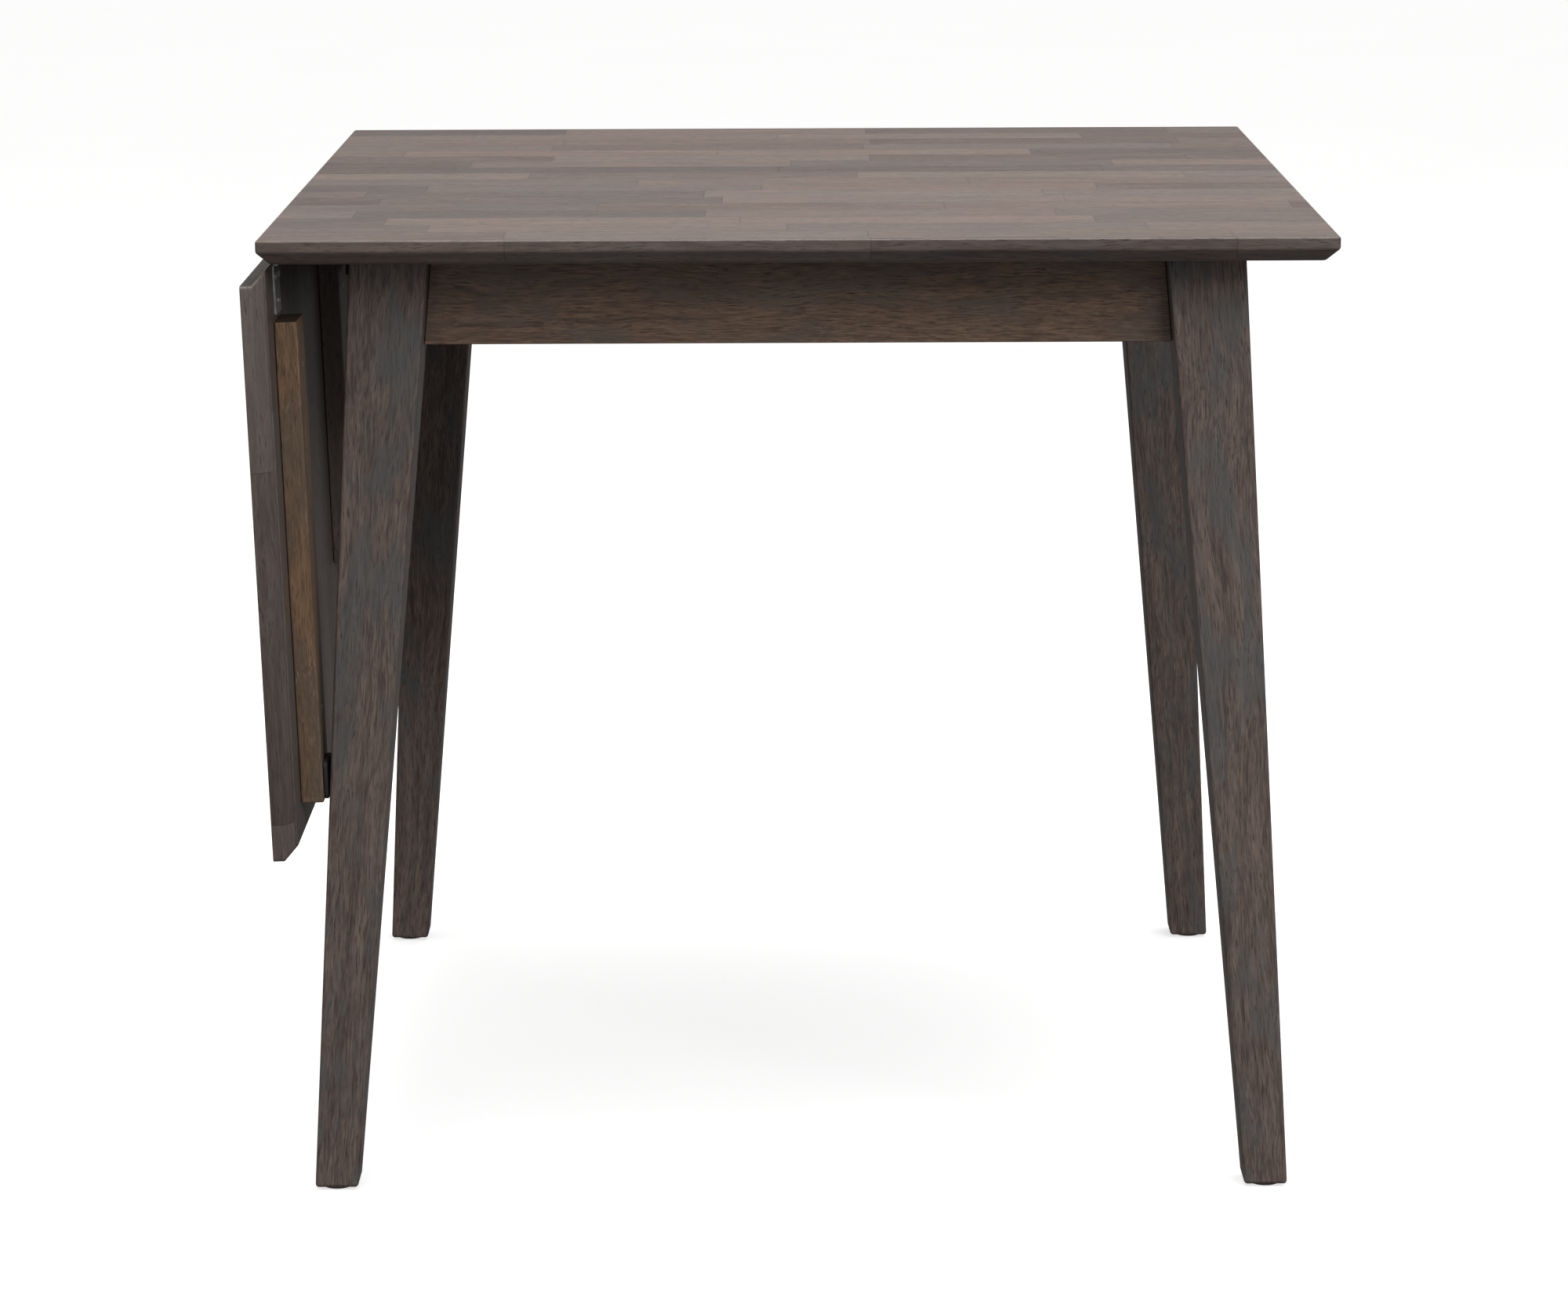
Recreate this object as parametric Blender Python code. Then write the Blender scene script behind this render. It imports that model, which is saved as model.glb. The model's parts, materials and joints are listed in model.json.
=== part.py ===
"""Square dining table with one drop leaf on its left side, leaf hanging.

Four tapered legs splay outwards under a thin top with a deep underbevel. The leaf hangs from two
butt hinges and leans in until the rubber buffers on its battens meet the legs. Metres, +Z up, with the
origin on the floor at the middle of the whole table's outline.
"""

import math

import bmesh
import bpy
from mathutils import Matrix, Vector

# Fitting gap between pieces that touch
GAP = 0.0003

# Top and leaf: one board thickness, an upright band at the edge, then a 45 degree underbevel
TABLE_HEIGHT = 0.744
TOP_SIZE = 0.800
BOARD = 0.0185
EDGE_BAND = 0.0087
UNDERBEVEL = BOARD - EDGE_BAND
ARRIS = 0.0008
LEAF_LENGTH = 0.440
LEAF_JOINT = 0.001
UNDERSIDE = TABLE_HEIGHT - BOARD

# Hinges: the axis lies just below the underside, near the inner end of the top's underbevel
AXIS_DROP = 0.0033
AXIS_INSET = 0.0092
LEAF_LEAN = math.radians(1.69)
HINGE_WIDTH = 0.034
HINGE_REACH = 0.0405
HINGE_PLATE = 0.0015
KNUCKLES = 3
KNUCKLE_GAP = 0.0004
BARREL_RADIUS = AXIS_DROP - GAP
PIN_RADIUS = 0.0015
PIN_HOLE_RADIUS = 0.0018
HINGE_Y = 0.330
# Hinge screws, as distances out from the axis and along it: the near pair clears the joint's slope
HINGE_SCREWS = ((0.0115, -0.010), (0.0115, 0.010), (0.0310, 0.0))
HINGE_SCREW_HEAD = (0.003, 0.0013)
HINGE_SCREW_RADIUS = 0.0015
HINGE_SCREW_LENGTH = 0.011

# Legs: outer faces and section at the underside of the top, then at the floor
LEG_TOP_OUT_X = 0.3372
LEG_TOP_OUT_Y = 0.3307
LEG_TOP_SIDE = 0.0598
LEG_FOOT_OUT_X = 0.3776
LEG_FOOT_OUT_Y = 0.3706
LEG_FOOT_SIDE = 0.0332
LEG_ARRIS = 0.002
FOOT_PAD = 0.002
FOOT_PAD_RADIUS = 0.012

# Aprons, set back from the outer faces of the legs
APRON_THICK = 0.022
APRON_BOTTOM = 0.6537
APRON_SETBACK = 0.020
APRON_TOP = UNDERSIDE - GAP

# Corner blocks behind the legs, with one bolt into each leg and one screw up into the top
BLOCK_START = 0.039
BLOCK_THICK = 0.022
BLOCK_HEIGHT = 0.040
BOLT_RADIUS = 0.003
BOLT_HEAD = (0.0075, 0.0035)
BOLT_INTO_LEG = 0.030
TOP_SCREW_OFFSET = 0.015
TOP_SCREW_HEAD = (0.004, 0.002)
TOP_SCREW_RADIUS = 0.002
TOP_SCREW_LENGTH = 0.051

# Battens under the leaf, as distances from the hinge axis
BATTEN_THICK = 0.0172
END_BATTEN = (0.0447, 0.4160)
END_BATTEN_Y = (0.310, 0.355)
CENTRE_BATTEN = (0.0300, 0.2930)
CENTRE_BATTEN_WIDTH = 0.058
BATTEN_SCREW_END = 0.035
BATTEN_SCREW_HEAD = (0.0038, 0.002)
BATTEN_SCREW_RADIUS = 0.0018
BATTEN_SCREW_LENGTH = 0.028
BATTEN_SCREW_SINK = 0.0017
BUFFER = (0.3855, 0.4145)
BUFFER_THICK = 0.0032
BUFFER_MARGIN = 0.004

# Pull-out bar that carries the raised leaf, stowed in its guides under the top
BAR_WIDTH = 0.050
BAR_END = 0.370
BAR_LENGTH = 0.500
BAR_TOP = 0.7070
BAR_BOTTOM = 0.6685
BAR_PLAY = 0.0015
GUIDE_WIDTH = 0.020
GUIDE_TAIL = 0.140
KEEPER = (-0.165, -0.135)
KEEPER_THICK = 0.010
PEG_X = 0.105
PEG_RADIUS = 0.004
PEG_BELOW_BAR = 0.009

ROUND_SIDES = 24
ACROSS = Vector((0, 1, 0))
UP = Vector((0, 0, 1))

HANG = -(math.pi / 2 + LEAF_LEAN)
AXIS_X = -(TOP_SIZE / 2 - AXIS_INSET)
AXIS_Z = UNDERSIDE - AXIS_DROP


def leaf_outermost():
    """X of the hanging leaf's upper outer corner, from the middle of the top."""
    corner = Vector((-(AXIS_INSET + LEAF_JOINT), 0, BOARD + AXIS_DROP))
    corner.rotate(Matrix.Rotation(HANG, 3, "Y"))
    return AXIS_X + corner.x


# The hanging leaf stands out on the left, so the top's middle lies a little to the right of the origin
TABLE_X = -(leaf_outermost() + TOP_SIZE / 2) / 2


def clear_scene():
    for old in list(bpy.data.objects):
        bpy.data.objects.remove(old, do_unlink=True)


def material(name, colour, roughness, metallic=0.0):
    made = bpy.data.materials.new(name)
    made.use_nodes = True
    shader = made.node_tree.nodes["Principled BSDF"]
    shader.inputs["Base Color"].default_value = (*colour, 1.0)
    shader.inputs["Roughness"].default_value = roughness
    shader.inputs["Metallic"].default_value = metallic
    return made


def empty(name, location, rotation_y=0.0):
    made = bpy.data.objects.new(name, None)
    made.location = location
    made.rotation_euler = (0, rotation_y, 0)
    bpy.context.scene.collection.objects.link(made)
    return made


def finish(name, bm, mat, parent, smooth=False):
    """Turns a bmesh into a named object under its parent empty."""
    bmesh.ops.recalc_face_normals(bm, faces=bm.faces)
    mesh = bpy.data.meshes.new(name)
    bm.to_mesh(mesh)
    bm.free()
    if smooth:
        mesh.shade_smooth()
        mesh.set_sharp_from_angle(angle=math.radians(35))
    made = bpy.data.objects.new(name, mesh)
    made.parent = parent
    if mat:
        mesh.materials.append(mat)
    else:
        made.hide_render = True
        made.display_type = "WIRE"
    bpy.context.scene.collection.objects.link(made)
    return made


def combine(target, operand, operation):
    modifier = target.modifiers.new(operand.name, "BOOLEAN")
    modifier.operation = operation
    modifier.solver = "EXACT"
    modifier.object = operand


def stacked(layers):
    """A closed form through rectangles, each (z, x_low, x_high, y_low, y_high), from the top down."""
    bm = bmesh.new()
    rings = []
    for z, x_low, x_high, y_low, y_high in layers:
        corners = ((x_low, y_low), (x_high, y_low), (x_high, y_high), (x_low, y_high))
        rings.append([bm.verts.new((x, y, z)) for x, y in corners])
    bm.faces.new(rings[0])
    bm.faces.new(rings[-1])
    for above, below in zip(rings, rings[1:]):
        for i in range(4):
            bm.faces.new((above[i], above[i - 1], below[i - 1], below[i]))
    return bm


def box(name, low, high, mat, parent):
    layers = [(z, low[0], high[0], low[1], high[1]) for z in (high[2], low[2])]
    return finish(name, stacked(layers), mat, parent)


def extruded(name, outline, direction, mat, parent):
    """A flat outline of points, drawn out along a direction."""
    bm = bmesh.new()
    face = bm.faces.new([bm.verts.new(point) for point in outline])
    drawn = bmesh.ops.extrude_face_region(bm, geom=[face])
    moved = [part for part in drawn["geom"] if isinstance(part, bmesh.types.BMVert)]
    bmesh.ops.translate(bm, verts=moved, vec=direction)
    return finish(name, bm, mat, parent)


def turned(name, profile, place, direction, mat, parent, sides=ROUND_SIDES):
    """A turned piece: profile is (radius, height) from one end of its axis to the other."""
    bm = bmesh.new()
    points = [bm.verts.new((radius, 0, height)) for radius, height in profile]
    edges = [bm.edges.new(pair) for pair in zip(points, points[1:])]
    bmesh.ops.spin(bm, geom=points + edges, cent=(0, 0, 0), axis=UP, steps=sides, angle=math.tau, use_merge=True)
    bmesh.ops.remove_doubles(bm, verts=bm.verts, dist=1e-6)
    turn = UP.rotation_difference(Vector(direction)).to_matrix().to_4x4()
    bmesh.ops.transform(bm, matrix=Matrix.Translation(place) @ turn, verts=bm.verts)
    return finish(name, bm, mat, parent, smooth=True)


def rod(name, radius, place, direction, length, mat, parent):
    """A plain cylinder from a place along a direction."""
    profile = [(0, 0), (radius, 0), (radius, length), (0, length)]
    return turned(name, profile, place, direction, mat, parent)


def fastener(name, seat, direction, head, shank, length, hosts, mat, parent):
    """A domed screw or bolt driven along direction, with a clear hole in each piece that it holds."""
    head_radius, head_height = head
    outwards = -Vector(direction)
    profile = [
        (0, head_height),
        (head_radius * 0.65, head_height * 0.9),
        (head_radius, head_height * 0.35),
        (head_radius, GAP),
        (shank, GAP),
        (shank, -length + shank),
        (0, -length),
    ]
    made = turned(name, profile, seat, outwards, mat, parent, sides=16)
    start = Vector(seat) + outwards * 0.002
    hole = rod(name + "_hole", shank + GAP, start, direction, length + 0.003, None, parent)
    for host in hosts:
        combine(host, hole, "DIFFERENCE")
    return made


def between(height):
    """How far down from the top of a leg a height lies, from 0 at the underside to 1 at the floor."""
    return (UNDERSIDE - height) / UNDERSIDE


def leg_faces(height):
    """Outer and inner X, then outer and inner Y, of a leg at a height."""
    part = between(height)
    side = LEG_TOP_SIDE + (LEG_FOOT_SIDE - LEG_TOP_SIDE) * part
    out_x = LEG_TOP_OUT_X + (LEG_FOOT_OUT_X - LEG_TOP_OUT_X) * part
    out_y = LEG_TOP_OUT_Y + (LEG_FOOT_OUT_Y - LEG_TOP_OUT_Y) * part
    return out_x, out_x - side, out_y, out_y - side


def make_top(mat, table):
    half = TOP_SIZE / 2
    inner = half - UNDERBEVEL
    bm = stacked(
        [
            (TABLE_HEIGHT, -half, half, -half, half),
            (TABLE_HEIGHT - EDGE_BAND, -half, half, -half, half),
            (UNDERSIDE, -inner, inner, -inner, inner),
        ]
    )
    bmesh.ops.bevel(bm, geom=bm.edges[:], offset=ARRIS, segments=1, profile=0.5, affect="EDGES", material=-1)
    return finish("table_top", bm, mat, table)


def make_leg(name, side_x, side_y, mat, table):
    layers = []
    for height in (APRON_TOP, FOOT_PAD + GAP):
        out_x, in_x, out_y, in_y = leg_faces(height)
        xs = sorted((side_x * out_x, side_x * in_x))
        ys = sorted((side_y * out_y, side_y * in_y))
        layers.append((height, *xs, *ys))
    bm = stacked(layers)
    arrises = [edge for edge in bm.edges if min(vert.co.z for vert in edge.verts) < TABLE_HEIGHT / 2]
    bmesh.ops.bevel(bm, geom=arrises, offset=LEG_ARRIS, segments=2, profile=0.5, affect="EDGES", material=-1)
    return finish(name, bm, mat, table)


def make_apron(name, along_x, side, mat, table):
    """A rail between two legs, its ends cut to the slope of the legs' inner faces."""
    outline = []
    for end, height in ((-1, APRON_BOTTOM), (1, APRON_BOTTOM), (1, APRON_TOP), (-1, APRON_TOP)):
        _, in_x, _, in_y = leg_faces(height)
        outline.append((end * ((in_x if along_x else in_y) - GAP), height))
    if along_x:
        face = side * (LEG_TOP_OUT_Y - APRON_SETBACK)
        points = [(x, face, z) for x, z in outline]
        direction = (0, -side * APRON_THICK, 0)
    else:
        face = side * (LEG_TOP_OUT_X - APRON_SETBACK)
        points = [(face, y, z) for y, z in outline]
        direction = (-side * APRON_THICK, 0, 0)
    return extruded(name, points, direction, mat, table)


def make_corner(corner, side_x, side_y, leg, top, wood, steel, table):
    """The block behind one leg, its bolt into the leg and its screw into the top."""
    corner_x = LEG_TOP_OUT_X - APRON_SETBACK - APRON_THICK
    corner_y = LEG_TOP_OUT_Y - APRON_SETBACK - APRON_THICK
    far = BLOCK_START + BLOCK_THICK * math.sqrt(2)
    bottom = APRON_TOP - BLOCK_HEIGHT
    inwards = ((GAP, BLOCK_START), (GAP, far), (far, GAP), (BLOCK_START, GAP))
    outline = [(side_x * (corner_x - x), side_y * (corner_y - y), bottom) for x, y in inwards]
    block = extruded("corner_block_" + corner, outline, (0, 0, BLOCK_HEIGHT), wood, table)

    def at(along, height):
        """A point on the block's inner face, this far along from its middle."""
        step = along / math.sqrt(2)
        return Vector((side_x * (corner_x - far / 2 + step), side_y * (corner_y - far / 2 - step), height))

    into_leg = Vector((side_x, side_y, 0)).normalized()
    reach = BLOCK_THICK + BOLT_INTO_LEG
    seat = at(0, bottom + BLOCK_HEIGHT / 2)
    fastener("leg_bolt_" + corner, seat, into_leg, BOLT_HEAD, BOLT_RADIUS, reach, (block, leg), steel, table)
    seat = at(TOP_SCREW_OFFSET, bottom) + into_leg * BLOCK_THICK / 2
    fastener(
        "top_screw_" + corner, seat, UP, TOP_SCREW_HEAD, TOP_SCREW_RADIUS,
        TOP_SCREW_LENGTH, (block, top), steel, table,
    )


def make_foot_pad(corner, side_x, side_y, mat, table):
    out_x, in_x, out_y, in_y = leg_faces(0)
    place = (side_x * (out_x + in_x) / 2, side_y * (out_y + in_y) / 2, 0)
    return rod("foot_pad_" + corner, FOOT_PAD_RADIUS, place, UP, FOOT_PAD, mat, table)


def make_support_bar(apron, wood, peg_wood, table):
    """The pull-out bar, its stop peg, the two guides and the keeper that it runs on."""
    half = BAR_WIDTH / 2
    tail = BAR_LENGTH - BAR_END
    bar = box("support_bar", (-BAR_END, -half, BAR_BOTTOM), (tail, half, BAR_TOP), wood, table)
    peg_low = BAR_BOTTOM - PEG_BELOW_BAR
    rod("bar_stop_peg", PEG_RADIUS, (PEG_X, 0, peg_low), UP, BAR_TOP - peg_low, peg_wood, table)
    peg_hole = rod("peg_hole", PEG_RADIUS + GAP, (PEG_X, 0, peg_low), UP, BAR_TOP, None, table)
    combine(bar, peg_hole, "DIFFERENCE")
    apron_outer = LEG_TOP_OUT_X - APRON_SETBACK
    low = (-apron_outer - APRON_THICK, -half - BAR_PLAY, BAR_BOTTOM - BAR_PLAY)
    high = (-apron_outer + 2 * APRON_THICK, half + BAR_PLAY, TABLE_HEIGHT)
    combine(apron, box("bar_notch", low, high, None, table), "DIFFERENCE")
    guide_start = -apron_outer + APRON_THICK + GAP
    for name, side in (("front", -1), ("rear", 1)):
        near, far = sorted((side * (half + BAR_PLAY), side * (half + BAR_PLAY + GUIDE_WIDTH)))
        box("bar_guide_" + name, (guide_start, near, BAR_BOTTOM), (GUIDE_TAIL, far, APRON_TOP), wood, table)
    reach = half + BAR_PLAY + GUIDE_WIDTH
    keeper_top = BAR_BOTTOM - GAP
    low = (KEEPER[0], -reach, keeper_top - KEEPER_THICK)
    box("bar_keeper", low, (KEEPER[1], reach, keeper_top), wood, table)


def make_leaf(mat, pivot):
    """The leaf board, drawn raised, with its lip under the top's underbevel."""
    edge = -(AXIS_INSET + LEAF_JOINT)
    half = TOP_SIZE / 2
    low, high = AXIS_DROP, AXIS_DROP + BOARD
    ends = half - UNDERBEVEL
    bm = stacked(
        [
            (high, edge - LEAF_LENGTH, edge, -half, half),
            (high - EDGE_BAND, edge - LEAF_LENGTH, edge, -half, half),
            (low, edge - LEAF_LENGTH + UNDERBEVEL, edge + UNDERBEVEL, -ends, ends),
        ]
    )
    bmesh.ops.bevel(bm, geom=bm.edges[:], offset=ARRIS, segments=1, profile=0.5, affect="EDGES", material=-1)
    return finish("drop_leaf", bm, mat, pivot)


def make_batten(name, span, y_low, y_high, leaf, wood, steel, pivot):
    """A batten under the leaf with a screw near each end, its head let into the batten's face."""
    top = AXIS_DROP - GAP
    bottom = top - BATTEN_THICK
    batten = box(name, (-span[1], y_low, bottom), (-span[0], y_high, top), wood, pivot)
    middle = (y_low + y_high) / 2
    for number, along in enumerate((span[0] + BATTEN_SCREW_END, span[1] - 2 * BATTEN_SCREW_END), 1):
        seat = (-along, middle, bottom + BATTEN_SCREW_SINK)
        recess = rod(
            f"{name}_recess_{number}", BATTEN_SCREW_HEAD[0] + GAP, seat, -UP, 2 * BATTEN_SCREW_SINK, None, pivot
        )
        combine(batten, recess, "DIFFERENCE")
        fastener(
            f"{name}_screw_{number}", seat, UP, BATTEN_SCREW_HEAD, BATTEN_SCREW_RADIUS,
            BATTEN_SCREW_LENGTH, (batten, leaf), steel, pivot,
        )
    return bottom


def make_hinge(name, y, top, leaf, steel, table, pivot):
    """A butt hinge: two plates with alternating knuckles on one pin."""
    pitch = HINGE_WIDTH / KNUCKLES
    plate_low = BARREL_RADIUS - HINGE_PLATE
    start = BARREL_RADIUS + KNUCKLE_GAP
    axis = Vector((AXIS_X, y, AXIS_Z))
    plates = (
        ("top_plate", "top_screw", 1, 0, table, axis, top),
        ("leaf_plate", "leaf_screw", -1, 1, pivot, Vector((0, y, 0)), leaf),
    )
    for plate_name, screw_name, side, first, parent, centre, host in plates:
        near, far = sorted((side * start, side * HINGE_REACH))
        low = centre + Vector((near, -HINGE_WIDTH / 2, plate_low))
        high = centre + Vector((far, HINGE_WIDTH / 2, BARREL_RADIUS))
        plate = box(f"{name}_{plate_name}", low, high, steel, parent)
        # Each knuckle is the end of the plate curled round the pin
        angles = [math.radians(degrees) for degrees in range(90, 391, 15)]
        curl = [(side * BARREL_RADIUS * math.cos(a), BARREL_RADIUS * math.sin(a)) for a in angles]
        inside = side * (start + HINGE_PLATE)
        curl += [(inside, plate_low), (inside, BARREL_RADIUS)]
        for number in range(first, KNUCKLES, 2):
            y_start = -HINGE_WIDTH / 2 + number * pitch + KNUCKLE_GAP / 2
            outline = [centre + Vector((x, y_start, z)) for x, z in curl]
            width = (0, pitch - KNUCKLE_GAP, 0)
            knuckle = extruded(f"{name}_{plate_name}_knuckle_{number}", outline, width, None, parent)
            combine(plate, knuckle, "UNION")
        bore_start = centre - ACROSS * HINGE_WIDTH
        bore = rod(
            f"{name}_{plate_name}_bore", PIN_HOLE_RADIUS, bore_start, ACROSS, 2 * HINGE_WIDTH, None, parent
        )
        combine(plate, bore, "DIFFERENCE")
        for number, (out, along) in enumerate(HINGE_SCREWS, 1):
            seat = centre + Vector((side * out, along, plate_low))
            fastener(
                f"{name}_{screw_name}_{number}", seat, UP, HINGE_SCREW_HEAD, HINGE_SCREW_RADIUS,
                HINGE_SCREW_LENGTH, (plate, host), steel, parent,
            )
    pin_start = axis - ACROSS * HINGE_WIDTH / 2
    rod(name + "_pin", PIN_RADIUS, pin_start, ACROSS, HINGE_WIDTH, steel, table)


def main():
    clear_scene()
    oak = material("stained_oak", (0.060, 0.047, 0.042), 0.5)
    pale_wood = material("batten_wood", (0.170, 0.105, 0.060), 0.6)
    frame_wood = material("frame_wood", (0.110, 0.075, 0.050), 0.65)
    steel = material("hinge_steel", (0.60, 0.59, 0.57), 0.3, 1.0)
    dark_steel = material("bolt_steel", (0.30, 0.30, 0.30), 0.4, 1.0)
    rubber = material("buffer_rubber", (0.015, 0.015, 0.016), 0.8)
    felt = material("foot_felt", (0.10, 0.08, 0.065), 0.95)

    table = empty("table_middle", (TABLE_X, 0, 0))
    pivot = empty("leaf_hinge_axis", (TABLE_X + AXIS_X, 0, AXIS_Z), HANG)

    top = make_top(oak, table)
    for corner, side_x, side_y in (
        ("front_left", -1, -1),
        ("front_right", 1, -1),
        ("rear_left", -1, 1),
        ("rear_right", 1, 1),
    ):
        leg = make_leg("leg_" + corner, side_x, side_y, oak, table)
        make_corner(corner, side_x, side_y, leg, top, frame_wood, dark_steel, table)
        make_foot_pad(corner, side_x, side_y, felt, table)

    make_apron("apron_front", True, -1, oak, table)
    make_apron("apron_rear", True, 1, oak, table)
    make_apron("apron_right", False, 1, oak, table)
    left_apron = make_apron("apron_left", False, -1, oak, table)
    make_support_bar(left_apron, frame_wood, pale_wood, table)

    leaf = make_leaf(oak, pivot)
    half_centre = CENTRE_BATTEN_WIDTH / 2
    make_batten("leaf_batten_centre", CENTRE_BATTEN, -half_centre, half_centre, leaf, oak, steel, pivot)
    for name, side in (("front", -1), ("rear", 1)):
        y_low, y_high = sorted(side * y for y in END_BATTEN_Y)
        bottom = make_batten("leaf_batten_" + name, END_BATTEN, y_low, y_high, leaf, pale_wood, steel, pivot)
        low = (-BUFFER[1], y_low + BUFFER_MARGIN, bottom - GAP - BUFFER_THICK)
        high = (-BUFFER[0], y_high - BUFFER_MARGIN, bottom - GAP)
        box("leaf_buffer_" + name, low, high, rubber, pivot)
        make_hinge("hinge_" + name, side * HINGE_Y, top, leaf, steel, table, pivot)


main()
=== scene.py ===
import json
import math

import bmesh
import bpy
from mathutils import Matrix, Vector


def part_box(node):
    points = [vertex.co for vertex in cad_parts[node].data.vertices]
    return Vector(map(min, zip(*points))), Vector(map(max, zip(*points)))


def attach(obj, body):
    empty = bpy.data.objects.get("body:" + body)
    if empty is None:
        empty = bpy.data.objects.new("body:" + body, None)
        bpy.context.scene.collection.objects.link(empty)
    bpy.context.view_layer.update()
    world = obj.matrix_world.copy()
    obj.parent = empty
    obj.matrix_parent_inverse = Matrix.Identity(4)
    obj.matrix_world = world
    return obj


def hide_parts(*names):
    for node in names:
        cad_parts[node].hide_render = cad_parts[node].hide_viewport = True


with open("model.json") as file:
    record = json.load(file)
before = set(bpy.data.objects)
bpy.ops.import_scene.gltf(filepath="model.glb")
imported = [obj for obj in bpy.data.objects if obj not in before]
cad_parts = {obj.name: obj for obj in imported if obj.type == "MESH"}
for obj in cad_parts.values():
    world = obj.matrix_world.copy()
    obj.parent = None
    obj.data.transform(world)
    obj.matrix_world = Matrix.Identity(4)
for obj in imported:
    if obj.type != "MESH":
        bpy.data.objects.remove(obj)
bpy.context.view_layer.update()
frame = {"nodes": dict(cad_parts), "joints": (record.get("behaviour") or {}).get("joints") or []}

# ---------------------------------------------------------------------------------------------
# Studio: a pale floor, a white surround, a softbox overhead and another in front, to the right.
# The camera stands in front of the table, above its top, and looks down.

top_low, top_high = (Vector(corner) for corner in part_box("table_top"))
table_middle = (top_low + top_high) / 2
scene = bpy.context.scene
scene.view_settings.view_transform = "Standard"


def linear(hex_colour):
    """An sRGB hex colour as linear RGBA."""
    parts = [int(hex_colour[i : i + 2], 16) / 255 for i in (1, 3, 5)]
    return (*(c / 12.92 if c <= 0.04045 else ((c + 0.055) / 1.055) ** 2.4 for c in parts), 1.0)


def put(tree, kind, sockets=None, **settings):
    """Adds one shader node. sockets maps an input to a value, or to another node's output."""
    made = tree.nodes.new("ShaderNode" + kind)
    for name, value in settings.items():
        setattr(made, name, value)
    for key, value in (sockets or {}).items():
        if isinstance(value, bpy.types.NodeSocket):
            tree.links.new(value, made.inputs[key])
        else:
            made.inputs[key].default_value = value
    return made


LENS_MM = 105.7
SENSOR_MM = 36
CAMERA_BACK = 3.374
CAMERA_ASIDE = -0.005
CAMERA_HEIGHT = 1.171
LOOK_DOWN, LOOK_LEFT, TIP = (math.radians(angle) for angle in (12.307, 0.11, -0.249))

camera = bpy.data.objects.new("studio_camera", bpy.data.cameras.new("studio_camera"))
camera.data.lens = LENS_MM
camera.data.sensor_width = SENSOR_MM
scene.collection.objects.link(camera)
stand = Vector((table_middle.x + CAMERA_ASIDE, top_low.y - CAMERA_BACK, CAMERA_HEIGHT))
camera.matrix_world = (
    Matrix.Translation(stand)
    @ Matrix.Rotation(LOOK_LEFT, 4, "Z")
    @ Matrix.Rotation(math.pi / 2 - LOOK_DOWN, 4, "X")
    @ Matrix.Rotation(TIP, 4, "Z")
)
scene.camera = camera

# The surround is white above the horizon, brighter in front of the table than behind it, and dim
# below the horizon, in place of light off the floor
SKY, GROUND, BEHIND = 0.60, 0.16, 0.28
world = bpy.data.worlds.new("studio_surround")
world.use_nodes = True
tree = world.node_tree
tree.nodes["Background"].inputs["Color"].default_value = (1, 1, 1, 1)
heading = put(tree, "SeparateXYZ", {0: put(tree, "TexCoord").outputs["Generated"]})
backwards = {"Value": heading.outputs["Y"], "From Min": -0.2, "From Max": 0.9}
sky = put(tree, "MapRange", {**backwards, "To Min": SKY, "To Max": BEHIND}).outputs[0]
upwards = {"Value": heading.outputs["Z"], "From Min": -0.06, "From Max": 0.06}
dome = put(tree, "MapRange", {**upwards, "To Min": GROUND, "To Max": sky}).outputs[0]
tree.links.new(dome, tree.nodes["Background"].inputs["Strength"])
scene.world = world

for light_name, place, size, watts in (
    ("softbox_overhead", (0.1, -0.1, 3.2), (3.2, 1.8), 106),
    ("softbox_front_right", (2.2, -3.4, 2.9), (2.6, 2.2), 80),
):
    light = bpy.data.lights.new(light_name, "AREA")
    light.shape = "RECTANGLE"
    light.size, light.size_y = size
    light.energy = watts
    lamp = bpy.data.objects.new(light_name, light)
    lamp.location = place
    lamp.rotation_euler = (table_middle - Vector(place)).to_track_quat("-Z", "Y").to_euler()
    scene.collection.objects.link(lamp)

# Floor: matt white studio paint, evenly lit far past the lamps by a faint glow of its own
FLOOR_REACH = 60.0
floor_paint = bpy.data.materials.new("matt_white_floor_paint")
floor_paint.use_nodes = True
tree = floor_paint.node_tree
shader = tree.nodes["Principled BSDF"]
places = put(tree, "TexCoord").outputs["Object"]
unevenness = put(tree, "TexNoise", {"Vector": places, "Scale": 2.0, "Detail": 4.0}).outputs["Fac"]
floor_colour = put(
    tree, "Mix", {0: unevenness, 6: linear("#C9C9C8"), 7: linear("#D0D0CF")}, data_type="RGBA"
).outputs[2]
tree.links.new(floor_colour, shader.inputs["Base Color"])
shader.inputs["Roughness"].default_value = 0.9
shader.inputs["Emission Color"].default_value = (1, 1, 1, 1)
shader.inputs["Emission Strength"].default_value = 0.65

bm = bmesh.new()
bmesh.ops.create_grid(bm, x_segments=1, y_segments=1, size=FLOOR_REACH)
floor_mesh = bpy.data.meshes.new("studio_floor")
bm.to_mesh(floor_mesh)
bm.free()
floor_mesh.materials.append(floor_paint)
floor = bpy.data.objects.new("studio_floor", floor_mesh)
floor.visible_diffuse = False
floor.visible_glossy = False
scene.collection.objects.link(floor)

# ---------------------------------------------------------------------------------------------
# Top: edge-glued oak staves, their grain running across the table, stained dark grey-brown and
# lacquered satin. The edge has an upright band over a 45 degree underbevel, its arrises sanded.

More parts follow.
